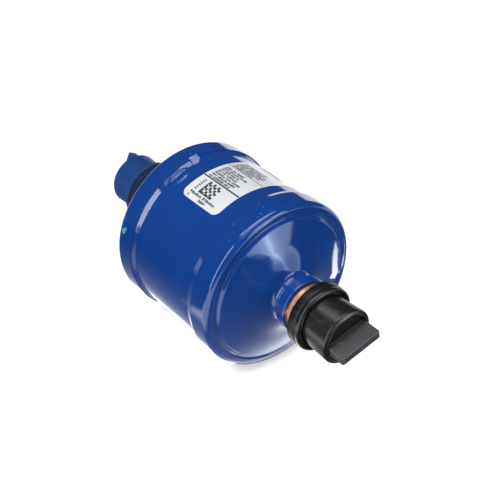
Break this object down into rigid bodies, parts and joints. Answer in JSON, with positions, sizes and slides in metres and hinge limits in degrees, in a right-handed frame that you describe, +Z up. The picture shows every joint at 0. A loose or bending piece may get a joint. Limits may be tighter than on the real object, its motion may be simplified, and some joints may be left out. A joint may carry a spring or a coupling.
{
  "type": "suction line filter",
  "caption": "Blue painted steel suction line filter with dished heads, copper sweat sockets, a wrapped label, plastic dust caps with finger blades and a pleated element inside.",
  "frame": {"origin": "centre of the inlet socket's mouth, on the flow axis", "axes": "+X along the flow axis from the inlet socket to the outlet socket, +Z up with the filter lying on its side"},
  "size_m": [0.1691, 0.079, 0.079],
  "materials": {
    "shell_paint": "gloss",
    "copper": "satin",
    "label_foil": "satin",
    "painted_cap": "gloss",
    "black_cap": "satin",
    "filter_paper": "matte",
    "plain_steel": "satin",
    "gasket_rubber": "matte"
  },
  "bodies": {
    "filter": {"shell_tube": "shell_paint", "inlet_head": "shell_paint", "outlet_head": "shell_paint", "inlet_head_weld": "shell_paint", "outlet_head_weld": "shell_paint", "inlet_stub": "copper", "outlet_stub": "copper", "inlet_braze": "shell_paint", "outlet_braze": "shell_paint", "label": "label_foil", "filter_media": "filter_paper", "core_tube": "plain_steel", "open_end_disc": "plain_steel", "closed_end_disc": "plain_steel", "seat_plate": "plain_steel", "seat_gasket": "gasket_rubber", "inlet_baffle": "plain_steel", "element_spring": "plain_steel"},
    "inlet_cap": {"inlet_dust_cap": "painted_cap"},
    "outlet_cap": {"outlet_dust_cap": "black_cap"}
  },
  "joints": [
    {"name": "inlet_cap_pull", "type": "slide", "parent": "filter", "child": "inlet_cap", "axis": [-1, 0, 0], "range_m": [0, 0.06]},
    {"name": "outlet_cap_pull", "type": "slide", "parent": "filter", "child": "outlet_cap", "axis": [1, 0, 0], "range_m": [0, 0.06]}
  ]
}
